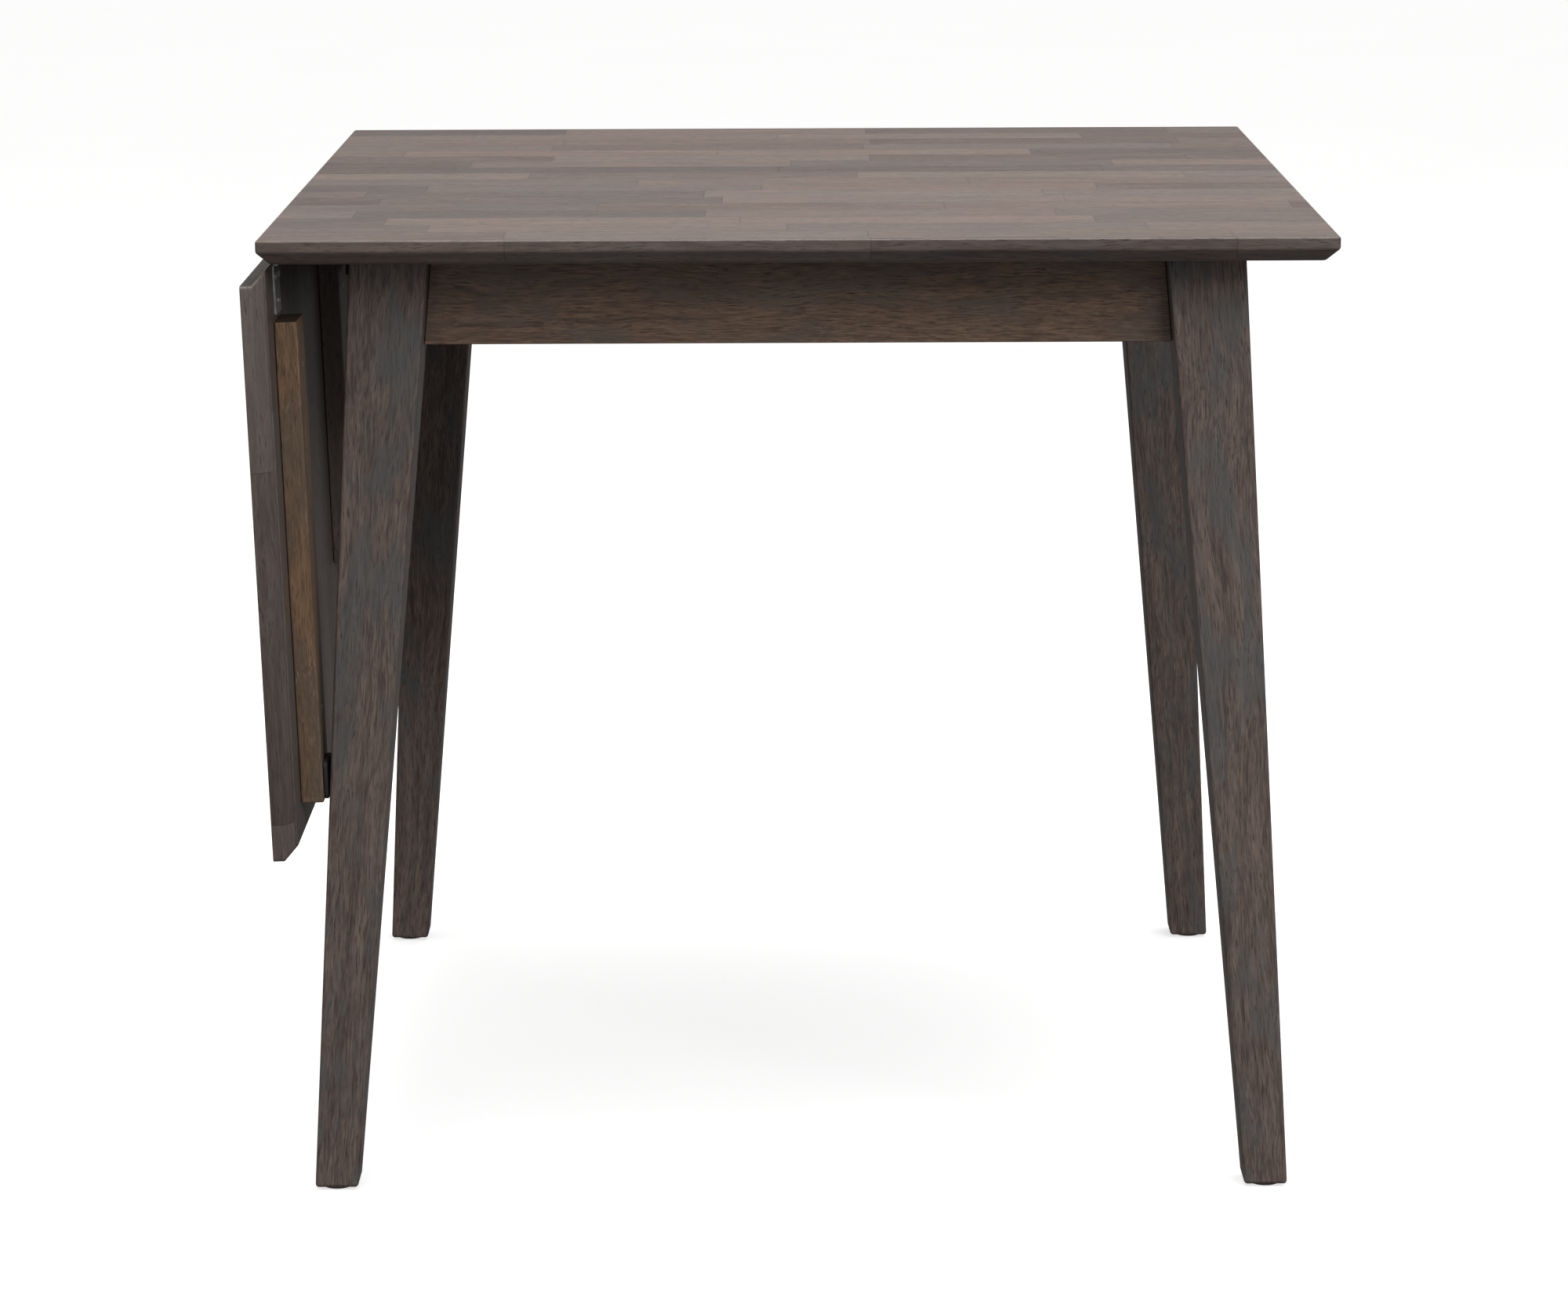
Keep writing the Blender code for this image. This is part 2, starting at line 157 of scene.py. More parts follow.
hinge = frame["joints"][0]
HUNG = -math.radians(hinge["range_deg"][1])
to_hung = Matrix.Translation(hinge["pos_m"]) @ Matrix.Rotation(HUNG, 4, "Y")
to_raised = to_hung.inverted()
BOARD_BAND = 0.0087
BOARD_ARRIS = 0.0013
BOARD_CORNER = 0.003
STAVE_WIDTH = 0.0435
STAVE_LENGTH = 0.27
GLUE_LINE = 0.0005
# Where the glued boards were cut from their stock, which sets how the staves fall
TOP_CUT = (0.0, 0.1305, 0.0)
LEAF_CUT = (0.7, 0.435, 0.0)
# Oak's pores are about 0.3 mm wide; they are drawn coarser, so that they show from across a room
PORE_MM = (13, 0.95)


def oak(name, grain, tones, cut=(0, 0, 0), staves=False, flecks=0.0, roughness=0.5):
    """Open-grained oak, stained: pores and fibres along the grain, in warm and cool patches.
    tones are the pore, dark, light and cool colours, and cut is where in the log it was sawn.
    Saw-cut ends drink more stain and are darker, and they are darkened further as painted shade, as for
    ends that sit in shadow under the top. Satin, and rougher in the pores."""
    made = bpy.data.materials.new(name)
    made.use_nodes = True
    tree = made.node_tree
    shader = tree.nodes["Principled BSDF"]
    pore_tone, dark_tone, light_tone, cool_tone = (linear(tone) for tone in tones)
    turn = Vector(grain).rotation_difference(Vector((1, 0, 0))).to_euler()
    coordinates = put(tree, "TexCoord")
    along = put(
        tree, "Mapping", {"Vector": coordinates.outputs["Object"], "Rotation": turn, "Location": cut}
    ).outputs["Vector"]

    def number(operation, first, second, third=0.0):
        return put(tree, "Math", {0: first, 1: second, 2: third}, operation=operation).outputs[0]

    def ramp(value, low, high, start=0.0, end=1.0):
        sockets = {"Value": value, "From Min": low, "From Max": high, "To Min": start, "To Max": end}
        return put(tree, "MapRange", sockets).outputs[0]

    def blend(amount, first, second):
        return put(tree, "Mix", {0: amount, 6: first, 7: second}, data_type="RGBA").outputs[2]

    seam = stave_draw = None
    if staves:
        # Each row of staves starts at its own place, and each stave has its own tone and figure
        split = put(tree, "SeparateXYZ", {"Vector": along})
        row_at = number("DIVIDE", split.outputs["Y"], STAVE_WIDTH)
        row = number("FLOOR", row_at, 0.0)
        start = put(tree, "TexWhiteNoise", {"W": row}, noise_dimensions="1D").outputs["Value"]
        start = number("MULTIPLY", start, 7.3)
        stave_at = number("MULTIPLY_ADD", split.outputs["X"], 1 / STAVE_LENGTH, start)
        stave = number("FLOOR", stave_at, 0.0)
        which = put(tree, "CombineXYZ", {"X": row, "Y": stave}).outputs[0]
        draw = put(tree, "TexWhiteNoise", {"Vector": which}, noise_dimensions="3D")
        stave_draw = put(tree, "SeparateColor", {0: draw.outputs["Color"]})
        shift = put(
            tree, "VectorMath", {0: draw.outputs["Color"], 1: (5.0, 5.0, 5.0)}, operation="MULTIPLY"
        ).outputs[0]
        along = put(tree, "VectorMath", {0: along, 1: shift}, operation="ADD").outputs[0]
        row_edge = number("PINGPONG", row_at, 1.0)
        row_edge = number("MINIMUM", row_edge, number("SUBTRACT", 1.0, row_edge))
        end_edge = number("PINGPONG", stave_at, 1.0)
        end_edge = number("MINIMUM", end_edge, number("SUBTRACT", 1.0, end_edge))
        row_seam = number("LESS_THAN", row_edge, GLUE_LINE / STAVE_WIDTH)
        seam = number("MAXIMUM", row_seam, number("LESS_THAN", end_edge, GLUE_LINE / STAVE_LENGTH))

    # The grain runs nearly straight, wandering a few millimetres either way
    wander = put(tree, "Mapping", {"Vector": along, "Scale": (7, 14, 14)}).outputs[0]
    wander = put(tree, "TexNoise", {"Vector": wander, "Scale": 1.0, "Detail": 2.0}).outputs["Color"]
    wander = {0: wander, 1: (0.0, 0.016, 0.016)}
    wander = put(tree, "VectorMath", wander, operation="MULTIPLY").outputs[0]
    along = put(tree, "VectorMath", {0: along, 1: wander}, operation="ADD").outputs[0]

    def streaks(length_mm, width_mm, detail):
        """Noise drawn out along the grain, its streaks about this long and wide."""
        across = 1000 / width_mm
        scale = put(tree, "Mapping", {"Vector": along, "Scale": (1000 / length_mm, across, across)})
        sockets = {"Vector": scale.outputs[0], "Scale": 1.0, "Detail": detail, "Roughness": 0.6}
        return put(tree, "TexNoise", sockets).outputs["Fac"]

    # Each figure by its length and width in mm
    fibres = streaks(17, 1.3, 3.0)
    bands = streaks(110, 6, 4.0)
    patches = streaks(75, 26, 5.0)
    pores = ramp(streaks(*PORE_MM, 2.0), 0.55, 0.66)
    # Pores crowd together in the spring growth
    pores = number("MULTIPLY", pores, ramp(bands, 0.40, 0.56, 0.35, 1.0))

    banding = 0.6 if staves else 0.45
    figure = number("MULTIPLY_ADD", fibres, 1 - banding, number("MULTIPLY", bands, banding))
    spread = ramp(figure, 0.38, 0.62)
    cooled = ramp(patches, 0.49, 0.61)
    if staves:
        spread = number("MULTIPLY", spread, 0.5)
        spread = number("MULTIPLY_ADD", stave_draw.outputs["Red"], 0.5, spread)
        cooled = number("MULTIPLY", cooled, 0.35)
        cooled = number("MULTIPLY_ADD", stave_draw.outputs["Green"], 0.65, cooled)
    face = blend(spread, dark_tone, light_tone)
    face = blend(number("MULTIPLY", cooled, 0.45 if staves else 0.65), face, cool_tone)
    if flecks:
        # Medullary rays where the board is near quarter-sawn: short pale dashes in curling clusters
        curl = {"Vector": along, "Rotation": (0, 0, math.radians(62)), "Scale": (26, 75, 40)}
        curl = put(tree, "Mapping", curl).outputs[0]
        clusters = put(tree, "TexNoise", {"Vector": curl, "Scale": 1.0}).outputs["Fac"]
        dashes = ramp(streaks(7, 1.0, 1.0), 0.54, 0.68)
        rays = number("MULTIPLY", dashes, ramp(clusters, 0.46, 0.62))
        face = blend(number("MULTIPLY", rays, flecks), face, linear("#8C745F"))
    face = blend(number("MULTIPLY", pores, 0.65), face, pore_tone)
    if staves:
        face = blend(number("MULTIPLY", seam, 0.35), face, pore_tone)

    # Saw-cut ends: darker from the stain they drink, and darker still as painted shade for ends that sit
    # in shadow
    facing = put(
        tree, "VectorMath", {0: coordinates.outputs["Normal"], 1: Vector(grain)}, operation="DOT_PRODUCT"
    ).outputs["Value"]
    end_stain_and_painted_shade = ramp(number("ABSOLUTE", facing, 0.0), 0.80, 0.95)
    face = blend(number("MULTIPLY", end_stain_and_painted_shade, 0.75), face, pore_tone)
    tree.links.new(face, shader.inputs["Base Color"])

    tree.links.new(ramp(pores, 0.0, 1.0, roughness, roughness + 0.2), shader.inputs["Roughness"])
    relief = number("MULTIPLY_ADD", fibres, 0.5, number("MULTIPLY", pores, -1.0))
    bump = put(tree, "Bump", {"Height": relief, "Strength": 0.30, "Distance": 0.0002})
    tree.links.new(bump.outputs[0], shader.inputs["Normal"])
    shader.inputs["IOR"].default_value = 1.48
    return made


def span(node, matrix=None):
    """Lowest and highest corner of a CAD node, turned first by a matrix."""
    points = [vertex.co for vertex in frame["nodes"][node].data.vertices]
    if matrix:
        points = [matrix @ point for point in points]
    return tuple(Vector([pick(p[i] for p in points) for i in range(3)]) for pick in (min, max))


def block(low, high):
    """A bmesh box between two corners."""
    bm = bmesh.new()
    bmesh.ops.create_cube(bm, size=1.0)
    bmesh.ops.scale(bm, verts=bm.verts, vec=high - low)
    bmesh.ops.translate(bm, verts=bm.verts, vec=(low + high) / 2)
    return bm


def round_edges(bm, edges, radius, segments):
    bmesh.ops.bevel(
        bm, geom=edges, offset=radius, segments=segments, profile=0.5, affect="EDGES", material=-1
    )


def upright_edges(bm):
    """The edges of a level block that stand upright."""
    return [edge for edge in bm.edges if abs(edge.verts[0].co.z - edge.verts[1].co.z) > 0.001]


def draw_out(bm, faces):
    """Extrudes faces of a solid, leaving none of them inside it, and gives the new vertices."""
    drawn = bmesh.ops.extrude_face_region(bm, geom=faces)["geom"]
    bmesh.ops.delete(bm, geom=faces, context="FACES")
    return [part for part in drawn if isinstance(part, bmesh.types.BMVert)]


def add_piece(name, bm, material, body, slot, *nodes, ease=0.0):
    """Makes the bmesh a piece on a body that stands for these CAD nodes. ease rounds its arrises."""
    bmesh.ops.recalc_face_normals(bm, faces=bm.faces)
    mesh = bpy.data.meshes.new(name)
    bm.to_mesh(mesh)
    bm.free()
    mesh.materials.append(material)
    mesh.shade_smooth()
    piece = bpy.data.objects.new(name, mesh)
    scene.collection.objects.link(piece)
    if ease:
        bevel = piece.modifiers.new("eased_arrises", "BEVEL")
        bevel.width = ease
        bevel.segments = 3
        bevel.limit_method = "ANGLE"
        bevel.angle_limit = math.radians(28)
        bevel.harden_normals = True
    else:
        mesh.set_sharp_from_angle(angle=math.radians(38))
    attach(piece, body)
    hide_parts(*nodes)
    return piece


def board(low, high, lip=0.0):
    """A board with an underbevel all round. A lip lets the underside out at the high X end."""
    under = high.z - low.z - BOARD_BAND
    middle = (low + high) / 2
    bm = block(Vector((low.x, low.y, high.z - BOARD_BAND)), Vector((high.x - lip, high.y, high.z)))
    round_edges(bm, upright_edges(bm), BOARD_CORNER, 4)
    lower = min(bm.faces, key=lambda face: face.calc_center_median().z)
    for vert in draw_out(bm, [lower]):
        vert.co.z = low.z
        vert.co.y -= math.copysign(under, vert.co.y - middle.y)
        outwards = lip and vert.co.x > middle.x
        vert.co.x += under if outwards or vert.co.x < middle.x else -under
    return bm


OAK_TONES = ("#211B19", "#443834", "#78685F", "#515454")
top_oak = oak("stained_lacquered_oak_top", (1, 0, 0), OAK_TONES, cut=TOP_CUT, staves=True)
bm = board(top_low, top_high)
add_piece("top_board", bm, top_oak, "frame", "stained_oak", "table_top", ease=BOARD_ARRIS)

# ---------------------------------------------------------------------------------------------
# Legs: solid oak, square, tapered to the foot and splayed both ways, the same stain and lacquer
# as the top. The long arrises are eased by hand and the foot is rounded over.

LEG_ARRIS = 0.0022
FOOT_ROUND = 0.003
# A leg's sections are taken from the CAD this close to its two ends
LEG_ENDS = 0.004
CORNERS = (("front_left", -1, -1), ("front_right", 1, -1), ("rear_left", -1, 1), ("rear_right", 1, 1))
# Where along and across the log each leg was sawn, so that no two share their figure
LEG_CUTS = {
    "front_left": (0.0, 0.0, 0.0),
    "front_right": (3.1, 0.9, 1.3),
    "rear_left": (5.9, 1.7, 2.4),
    "rear_right": (6.1, 0.9, 1.8),
}


def outline_of(node, height):
    """Low and high corner of a leg's section close to a height, which is its top or its foot."""
    near = [v.co for v in frame["nodes"][node].data.vertices if abs(v.co.z - height) < LEG_ENDS]
    return tuple(Vector([pick(p[i] for p in near) for i in range(3)]) for pick in (min, max))


for corner, side_x, side_y in CORNERS:
    node = "leg_" + corner
    low, high = (Vector(c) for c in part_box(node))
    middle = (low + high) / 2
    foot, head = outline_of(node, low.z), outline_of(node, high.z)
    bm = block(low, high)
    for vert in bm.verts:
        section = head if vert.co.z > middle.z else foot
        vert.co.x = section[int(vert.co.x > middle.x)].x
        vert.co.y = section[int(vert.co.y > middle.y)].y
    longs = [edge for edge in bm.edges if len({vert.co.z > middle.z for vert in edge.verts}) == 2]
    round_edges(bm, longs, LEG_ARRIS, 3)
    soles = [edge for edge in bm.edges if all(abs(vert.co.z - low.z) < 1e-5 for vert in edge.verts)]
    round_edges(bm, soles, FOOT_ROUND, 4)
    slope = head[0] + head[1] - foot[0] - foot[1]
    leg_oak = oak("stained_oak_leg_" + corner, slope.normalized(), OAK_TONES, cut=LEG_CUTS[corner])
    leg = add_piece("solid_leg_" + corner, bm, leg_oak, "frame", "stained_oak", node)
    leg.modifiers.new("flat_faces", "WEIGHTED_NORMAL").keep_sharp = True

# ---------------------------------------------------------------------------------------------
# Aprons: oak rails between the legs, set back from their faces and cut to their slope, with the
# grain lengthwise and a browner stain. Near quarter-sawn, so they show ray flecks. Glued in.

APRON_TONES = ("#281D17", "#4E3D32", "#876B56", "#62574F")
apron_oak = {
    "X": oak("stained_oak_rail_lengthwise", (1, 0, 0), APRON_TONES, flecks=0.55),
    "Y": oak("stained_oak_rail_crosswise", (0, 1, 0), APRON_TONES, flecks=0.55),
}
NOTCH_PLAY = 0.0015

for rail, axis, direction in (("front", 0, "X"), ("rear", 0, "X"), ("left", 1, "Y"), ("right", 1, "Y")):
    node = "apron_" + rail
    low, high = (Vector(c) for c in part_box(node))
    middle = (low + high) / 2
    upper_end = max(v.co[axis] for v in frame["nodes"][node].data.vertices if v.co.z > middle.z)
    bm = block(low, high)
    for vert in bm.verts:
        if vert.co.z > middle.z:
            vert.co[axis] -= math.copysign(high[axis] - upper_end, vert.co[axis] - middle[axis])
    if rail == "left":
        # The bar's notch, open at the top: sawn down both sides, then the waste is knocked out
        bar_low, bar_high = (Vector(c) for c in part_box("support_bar"))
        for cut, normal in (
            ((0, bar_low.y - NOTCH_PLAY, 0), (0, 1, 0)),
            ((0, bar_high.y + NOTCH_PLAY, 0), (0, 1, 0)),
            ((0, 0, bar_low.z - NOTCH_PLAY), (0, 0, 1)),
        ):
            geom = bm.verts[:] + bm.edges[:] + bm.faces[:]
            bmesh.ops.bisect_plane(bm, geom=geom, plane_co=cut, plane_no=normal)
        waste = []
        for face in bm.faces:
            centre = face.calc_center_median()
            between = bar_low.y - NOTCH_PLAY < centre.y < bar_high.y + NOTCH_PLAY
            if between and centre.z > bar_low.z - NOTCH_PLAY:
                waste.append(face)
        bmesh.ops.delete(bm, geom=waste, context="FACES")
        for side in (-1, 1):
            rim = [edge for edge in bm.edges if edge.is_boundary]
            wall = [edge for edge in rim if all(vert.co.y * side > 0 for vert in edge.verts)]
            bmesh.ops.contextual_create(bm, geom=wall)
        bmesh.ops.contextual_create(bm, geom=[edge for edge in bm.edges if edge.is_boundary])
    add_piece("rail_" + rail, bm, apron_oak[direction], "frame", "stained_oak", node, ease=0.0009)

# ---------------------------------------------------------------------------------------------
# Leaf: the same glued staves as the top, whose grain it carries on when it is raised. Its hinge
# edge has a lip that slides under the top's underbevel; the other edges match the top's.

leaf_low, leaf_high = span("drop_leaf", to_raised)
leaf_grain = to_hung.to_3x3() @ Vector((1, 0, 0))
leaf_oak = oak("stained_lacquered_oak_leaf", leaf_grain, OAK_TONES, cut=LEAF_CUT, staves=True)
bm = board(leaf_low, leaf_high, lip=leaf_high.z - leaf_low.z - BOARD_BAND)
bmesh.ops.transform(bm, matrix=to_hung, verts=bm.verts)
add_piece("leaf_board", bm, leaf_oak, "leaf", "stained_oak", "drop_leaf", ease=BOARD_ARRIS)

# ---------------------------------------------------------------------------------------------
# Battens: three strips screwed to the leaf's inner face to keep it flat. The end ones are plain
# yellow-brown hardwood, hardly stained; the middle one is stained and rests on the support bar.

BATTEN_TONES = ("#35291F", "#5C4836", "#8A6C50", "#5E5247")
batten_wood = oak("clear_finished_batten_oak", leaf_grain, BATTEN_TONES, flecks=0.8, roughness=0.55)
for batten, wood, slot in (
    ("front", batten_wood, "batten_wood"),
    ("centre", leaf_oak, "stained_oak"),
    ("rear", batten_wood, "batten_wood"),
):
    bm = block(*span("leaf_batten_" + batten, to_raised))
    bmesh.ops.transform(bm, matrix=to_hung, verts=bm.verts)
    add_piece("batten_" + batten, bm, wood, "leaf", slot, "leaf_batten_" + batten, ease=0.0012)

# Buffers: black rubber pads glued to the end battens, where the hanging leaf meets the legs. The
# rubber has a dusty bloom in patches, and stays dull.
rubber = bpy.data.materials.new("black_nitrile_rubber")
rubber.use_nodes = True
tree = rubber.node_tree
shader = tree.nodes["Principled BSDF"]
places = put(tree, "TexCoord").outputs["Object"]
bloom = put(tree, "TexNoise", {"Vector": places, "Scale": 220.0, "Detail": 5.0}).outputs["Fac"]
rubber_colour = put(
    tree, "Mix", {0: bloom, 6: linear("#151515"), 7: linear("#242425")}, data_type="RGBA"
).outputs[2]
tree.links.new(rubber_colour, shader.inputs["Base Color"])
dull = put(tree, "MapRange", {"Value": bloom, "To Min": 0.62, "To Max": 0.85}).outputs[0]
tree.links.new(dull, shader.inputs["Roughness"])
bump = put(tree, "Bump", {"Height": bloom, "Strength": 0.25, "Distance": 0.0002})
tree.links.new(bump.outputs[0], shader.inputs["Normal"])
for end in ("front", "rear"):
    node = "leaf_buffer_" + end
    low, high = span(node, to_raised)
    bm = block(low, high)
    round_edges(bm, upright_edges(bm), 0.004, 5)
    bmesh.ops.transform(bm, matrix=to_hung, verts=bm.verts)
    add_piece("rubber_buffer_" + end, bm, rubber, "leaf", "buffer_rubber", node, ease=0.0008)

# ---------------------------------------------------------------------------------------------
# Frame timber: corner blocks glued behind the legs, and the pull-out bar with its guides, keeper
# and stop peg under the top. Planed oak with a brown stain only, no lacquer.

FRAME_TONES = ("#17110D", "#30261F", "#4A3B30", "#3A322B")
BLOCK_THICK = 0.022
frame_oak = oak("brown_stained_planed_oak", (1, 0, 0), FRAME_TONES, roughness=0.62)
block_oak = oak("brown_stained_block_oak", (0, 0, 1), FRAME_TONES, roughness=0.62)
for name in ("support_bar", "bar_guide_front", "bar_guide_rear", "bar_keeper"):
    bm = block(*(Vector(c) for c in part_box(name)))
    add_piece("planed_" + name, bm, frame_oak, "frame", "frame_wood", name, ease=0.0014)

for corner, side_x, side_y in CORNERS:
    node = "corner_block_" + corner
    low, high = (Vector(c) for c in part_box(node))
    bm = block(low, high)
    outer = Vector((high.x if side_x > 0 else low.x, high.y if side_y > 0 else low.y, 0))
    inwards = Vector((-side_x, -side_y, 0)).normalized()
    far = (high.x - low.x) / math.sqrt(2)
    # Sawn across twice at 45 degrees, which leaves a bar between the two rails
    for reach, normal in ((far, inwards), (far - BLOCK_THICK, -inwards)):
        geom = bm.verts[:] + bm.edges[:] + bm.faces[:]
        cut = bmesh.ops.bisect_plane(
            bm, geom=geom, plane_co=outer + inwards * reach, plane_no=normal, clear_outer=True
        )
        rim = [part for part in cut["geom_cut"] if isinstance(part, bmesh.types.BMEdge)]
        bmesh.ops.contextual_create(bm, geom=rim)
    bmesh.ops.remove_doubles(bm, verts=bm.verts, dist=1e-5)
    add_piece("sawn_block_" + corner, bm, block_oak, "frame", "frame_wood", node, ease=0.0010)

# ---------------------------------------------------------------------------------------------
# Hinges: two pressed-steel butt hinges, zinc plated. The knuckles are rolled from the plates and
# turn on a riveted pin. The plating is bright, with a fine crystalline spangle and rubbed spots.

HINGE_PLATE = 0.0015
KNUCKLES = 3
KNUCKLE_GAP = 0.0004
PLATE_CORNER = 0.0012
CURL = math.radians(305)
SPANGLE_MM = 2.5


def plated_steel(name, dark, light, polish):
    made = bpy.data.materials.new(name)
    made.use_nodes = True
    tree = made.node_tree
    shader = tree.nodes["Principled BSDF"]
    places = put(tree, "TexCoord").outputs["Object"]
    spangle = put(tree, "TexNoise", {"Vector": places, "Scale": 1000 / SPANGLE_MM, "Detail": 3.0})
    rubbed = put(tree, "TexNoise", {"Vector": places, "Scale": 110.0, "Detail": 2.0})
    zinc = put(
        tree, "Mix", {0: spangle.outputs["Fac"], 6: linear(dark), 7: linear(light)}, data_type="RGBA"
    ).outputs[2]
    tree.links.new(zinc, shader.inputs["Base Color"])
    spots = {"Value": rubbed.outputs["Fac"], "From Min": 0.35, "From Max": 0.65}
    gloss = put(tree, "MapRange", {**spots, "To Min": polish, "To Max": polish + 0.2}).outputs[0]
    tree.links.new(gloss, shader.inputs["Roughness"])
    bump = put(tree, "Bump", {"Height": spangle.outputs["Fac"], "Strength": 0.15, "Distance": 0.0001})
    tree.links.new(bump.outputs[0], shader.inputs["Normal"])
    shader.inputs["Metallic"].default_value = 1.0
    return made


def turned(profile, steps):
    """A solid of revolution round Z from (radius, height) points, its poles closed."""
    bm = bmesh.new()
    points = [bm.verts.new((radius, 0, height)) for radius, height in profile]
    edges = [bm.edges.new(pair) for pair in zip(points, points[1:])]
    geom = points + edges
    bmesh.ops.spin(
        bm, geom=geom, cent=(0, 0, 0), axis=(0, 0, 1), steps=steps, angle=math.tau, use_merge=True
    )
    bmesh.ops.remove_doubles(bm, verts=bm.verts, dist=1e-6)
    return bm


def hinge_plate(side, first, reach, width, radius):
    """Half a butt hinge, raised, its pin on the Y axis: the plate lies to one side of it, with a
    knuckle at every second place rolled from the plate's own tongue."""
    pitch = width / KNUCKLES
    bm = bmesh.new()
    bmesh.ops.create_grid(bm, x_segments=1, y_segments=1, size=0.5)
    bmesh.ops.scale(bm, verts=bm.verts, vec=(reach, width, 1))
    bmesh.ops.translate(bm, verts=bm.verts, vec=(side * reach / 2, 0, radius))
    cuts = [((side * (radius + KNUCKLE_GAP), 0, 0), (1, 0, 0))]
    for number in range(1, KNUCKLES):
        for slack in (-KNUCKLE_GAP / 2, KNUCKLE_GAP / 2):
            cuts.append(((0, number * pitch - width / 2 + slack, 0), (0, 1, 0)))
    for place, normal in cuts:
        geom = bm.verts[:] + bm.edges[:] + bm.faces[:]
        bmesh.ops.bisect_plane(bm, geom=geom, plane_co=place, plane_no=normal)
    open_places = []
    for face in bm.faces:
        centre = face.calc_center_median()
        number = int((centre.y + width / 2) / pitch)
        sliver = face.calc_area() < pitch * radius / 2
        if abs(centre.x) < radius and (number % 2 != first or sliver):
            open_places.append(face)
    bmesh.ops.delete(bm, geom=open_places, context="FACES")
    ends = [edge for edge in bm.edges if all(abs(vert.co.x) < 1e-6 for vert in edge.verts)]
    geom = ends + list({vert for edge in ends for vert in edge.verts})
    bmesh.ops.spin(
        bm, geom=geom, cent=(0, 0, 0), axis=(0, 1, 0), steps=24, angle=-side * CURL, use_merge=False
    )
    bmesh.ops.recalc_face_normals(bm, faces=bm.faces)
    if max(bm.faces, key=lambda face: face.calc_area()).normal.z < 0:
        bmesh.ops.reverse_faces(bm, faces=bm.faces)
    bmesh.ops.solidify(bm, geom=bm.faces[:], thickness=HINGE_PLATE)
    corners = []
    for edge in bm.edges:
        at_end = all(abs(abs(vert.co.x) - reach) < 1e-6 for vert in edge.verts)
        if at_end and abs(edge.verts[0].co.z - edge.verts[1].co.z) > HINGE_PLATE / 2:
            corners.append(edge)
    round_edges(bm, corners, PLATE_CORNER, 5)
    return bm


zinc_steel = plated_steel("bright_zinc_plated_steel", "#B9B9B6", "#E2E2DF", 0.34)
pivot = Vector(hinge["pos_m"])
for end in ("front", "rear"):
    name = "hinge_" + end
    low, high = (Vector(c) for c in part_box(name + "_top_plate"))
    radius = pivot.x - low.x
    shape = (high.x - pivot.x, high.y - low.y, radius)
    across = Vector((0, (low.y + high.y) / 2, 0))

    bm = hinge_plate(1, 0, *shape)
    bmesh.ops.translate(bm, verts=bm.verts, vec=pivot + across)
    add_piece(name + "_plate_on_top", bm, zinc_steel, "frame", "hinge_steel", name + "_top_plate")

    bm = hinge_plate(-1, 1, *shape)
    bmesh.ops.transform(bm, matrix=to_hung @ Matrix.Translation(across), verts=bm.verts)
    add_piece(name + "_plate_on_leaf", bm, zinc_steel, "leaf", "hinge_steel", name + "_leaf_plate")

    low, high = (Vector(c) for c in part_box(name + "_pin"))
    pin, half = (high.z - low.z) / 2 - 0.00005, (high.y - low.y) / 2
    rivet = [(0, half + 0.0005), (pin * 0.7, half + 0.0004)]
    rivet += [(pin * 1.15, half + 0.0001), (pin, half - 0.0003)]
    bm = turned(rivet + [(r, -z) for r, z in reversed(rivet)], 24)
    bmesh.ops.rotate(bm, verts=bm.verts, matrix=Matrix.Rotation(math.pi / 2, 3, "X"))
    bmesh.ops.translate(bm, verts=bm.verts, vec=(low + high) / 2)
    add_piece(name + "_riveted_pin", bm, zinc_steel, "frame", "hinge_steel", name + "_pin")

# ---------------------------------------------------------------------------------------------
# Screws and bolts: round-headed screws with a cross recess hold the hinges, the battens and the
# frame to the top, those in the battens let in nearly flush; a button-head bolt with a hexagon
# socket draws each leg to its corner block.


def crowned(node, inwards, matrix=None):
    """The crown of a CAD fastener's head and its whole length, from its mesh."""
    points = [vertex.co for vertex in frame["nodes"][node].data.vertices]
    if matrix:
        points = [matrix @ point for point in points]
    depths = [point.dot(inwards) for point in points]
    return points[depths.index(min(depths))], max(depths) - min(depths)


def fastener(head, dome, shank, length):
    """A domed head, crown at the origin, and its plain shank down the Z axis."""
    profile = [(0, 0), (head * 0.35, -dome * 0.04), (head * 0.65, -dome * 0.14)]
    profile += [(head * 0.88, -dome * 0.4), (head, -dome * 0.72), (head * 0.98, -dome)]
    profile += [(shank, -dome), (shank, -length + shank * 1.6), (shank * 0.4, -length), (0, -length)]
    return turned(profile, 24)


def sink(bm, walls, inside, dome, depth):
    """Presses a driver's recess into a head. walls are its sides as (angle, distance)."""
    for angle, distance in walls:
        normal = Vector((math.cos(angle), math.sin(angle), 0))
        for place in (normal * distance, -normal * distance):
            crown = [face for face in bm.faces if face.calc_center_median().z > -dome / 2]
            rim = list({edge for face in crown for edge in face.edges})
            points = list({vert for face in crown for vert in face.verts})
            bmesh.ops.bisect_plane(bm, geom=points + rim + crown, plane_co=place, plane_no=normal)
    sunk = []
    for face in bm.faces:
        centre = face.calc_center_median()
        if centre.z > -dome / 2 and inside(centre):
            sunk.append(face)
    for vert in draw_out(bm, sunk):
        vert.co.z = -depth
        vert.co.xy *= 0.8
    bmesh.ops.dissolve_degenerate(bm, dist=2e-6, edges=bm.edges)


def cross_recess(bm, head, dome):
    """Two crossed slots for a driver."""
    arm, slot_half = head * 0.55, head * 0.12
    walls = [(turn, distance) for turn in (0, math.pi / 2) for distance in (arm, slot_half)]

    def inside(place):
        near, far = sorted((abs(place.x), abs(place.y)))
        return near < slot_half and far < arm

    sink(bm, walls, inside, dome, dome * 0.8)


